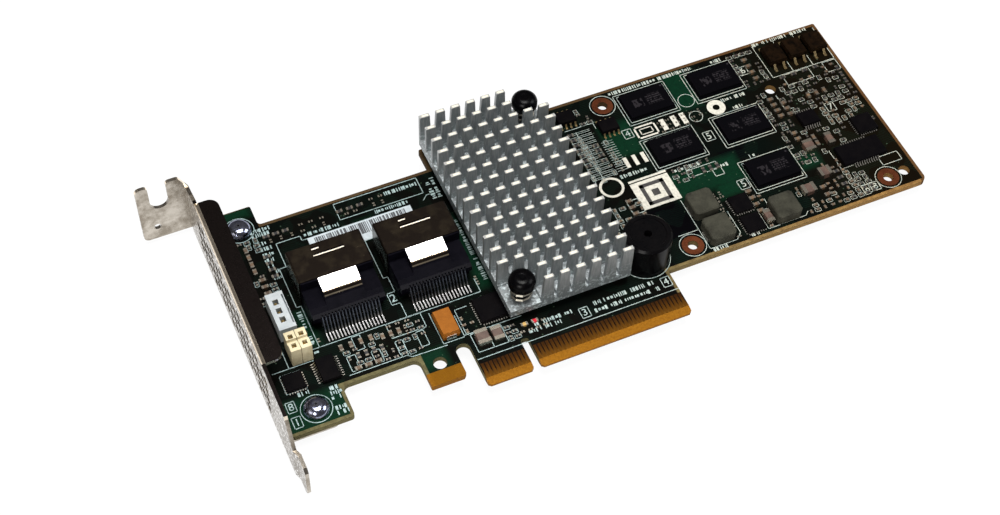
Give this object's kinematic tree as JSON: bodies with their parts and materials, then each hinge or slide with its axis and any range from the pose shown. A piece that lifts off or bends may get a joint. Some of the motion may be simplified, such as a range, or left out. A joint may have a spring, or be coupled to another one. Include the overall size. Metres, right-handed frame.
{
  "type": "raid controller card",
  "caption": "Low-profile storage controller card with edge contacts, pin-fin heatsink, two right-angle cable connectors, memory chips and a perforated slot bracket.",
  "frame": {"origin": "centre of the key notch on the tip line of the edge contacts, at the middle of the board thickness", "axes": "+X along the card away from the bracket, +Y from the contacts to the top edge, +Z out of the component side"},
  "size_m": [0.1814, 0.0792, 0.0204],
  "materials": {
    "bar_label": "white adhesive label",
    "bracket": "nickel plated sheet steel",
    "bracket_screws": "bright nickel plated screws",
    "bridge_chip": "black moulded epoxy",
    "bridge_leads": "tinned leads",
    "buzzer": "black moulded sounder case",
    "circuit_board": "green-black solder mask over glass-epoxy laminate",
    "controller_lid": "nickel plated copper lid",
    "controller_substrate": "green package laminate",
    "edge_contacts_back": "gold plated contacts",
    "edge_contacts_front": "gold plated contacts",
    "eeprom_chips": "black moulded epoxy",
    "eeprom_leads": "warm tinned leads",
    "filter_capacitors": "brown fired ceramic",
    "flash_chip": "black moulded epoxy",
    "flash_leads": "tinned leads",
    "header_housing": "off-white moulded plastic",
    "header_pins": "gold flashed pins",
    "heatsink": "plain extruded and cross-cut aluminium",
    "indicator_lamps": "clear moulded lamps",
    "inductor_1": "pressed iron powder",
    "inductor_2": "pressed iron powder",
    "inductor_3": "pressed iron powder",
    "inductor_terminals": "tinned terminals",
    "interface_chip": "black moulded epoxy",
    "jumper_caps": "cream moulded plastic",
    "jumper_posts": "gold flashed posts",
    "logic_chip": "black moulded epoxy",
    "memory_chip_1": "black moulded epoxy",
    "memory_chip_2": "black moulded epoxy",
    "memory_chip_3": "black moulded epoxy",
    "memory_chip_4": "black moulded epoxy",
    "memory_chip_5": "black moulded epoxy",
    "monitor_chip": "black moulded epoxy",
    "monitor_leads": "tinned leads",
    "power_chips": "black moulded epoxy",
    "power_transistor_leads": "plated leads and heat tabs",
    "power_transistors": "black moulded epoxy",
    "push_pin_springs": "bright spring wire",
    "push_pins": "glossy black nylon",
    "regulator_chip": "black moulded epoxy",
    "sas_contacts_1": "plated leads",
    "sas_contacts_2": "plated leads",
    "sas_housing_1": "black glass-filled plastic",
    "sas_housing_2": "black glass-filled plastic",
    "sas_shell_1": "dark reflective plated shell",
    "sas_shell_2": "dark reflective plated shell",
    "small_capacitors": "fired ceramic with tinned ends",
    "small_resistors": "glazed ceramic with tinned ends",
    "tantalum_case": "orange moulded case",
    "tantalum_terminals": "tinned terminals",
    "thermal_pad": "soft thermal interface pad"
  },
  "bodies": {
    "root": {"bar_label": "bar_label", "bracket": "bracket", "bracket_screws": "bracket_screws", "bridge_chip": "bridge_chip", "bridge_leads": "bridge_leads", "buzzer": "buzzer", "circuit_board": "circuit_board", "controller_lid": "controller_lid", "controller_substrate": "controller_substrate", "edge_contacts_back": "edge_contacts_back", "edge_contacts_front": "edge_contacts_front", "eeprom_chips": "eeprom_chips", "eeprom_leads": "eeprom_leads", "filter_capacitors": "filter_capacitors", "flash_chip": "flash_chip", "flash_leads": "flash_leads", "header_housing": "header_housing", "header_pins": "header_pins", "heatsink": "heatsink", "indicator_lamps": "indicator_lamps", "inductor_1": "inductor_1", "inductor_2": "inductor_2", "inductor_3": "inductor_3", "inductor_terminals": "inductor_terminals", "interface_chip": "interface_chip", "jumper_caps": "jumper_caps", "jumper_posts": "jumper_posts", "logic_chip": "logic_chip", "memory_chip_1": "memory_chip_1", "memory_chip_2": "memory_chip_2", "memory_chip_3": "memory_chip_3", "memory_chip_4": "memory_chip_4", "memory_chip_5": "memory_chip_5", "monitor_chip": "monitor_chip", "monitor_leads": "monitor_leads", "power_chips": "power_chips", "power_transistor_leads": "power_transistor_leads", "power_transistors": "power_transistors", "push_pin_springs": "push_pin_springs", "push_pins": "push_pins", "regulator_chip": "regulator_chip", "sas_contacts_1": "sas_contacts_1", "sas_contacts_2": "sas_contacts_2", "sas_housing_1": "sas_housing_1", "sas_housing_2": "sas_housing_2", "sas_shell_1": "sas_shell_1", "sas_shell_2": "sas_shell_2", "small_capacitors": "small_capacitors", "small_resistors": "small_resistors", "tantalum_case": "tantalum_case", "tantalum_terminals": "tantalum_terminals", "thermal_pad": "thermal_pad"}
  },
  "joints": []
}
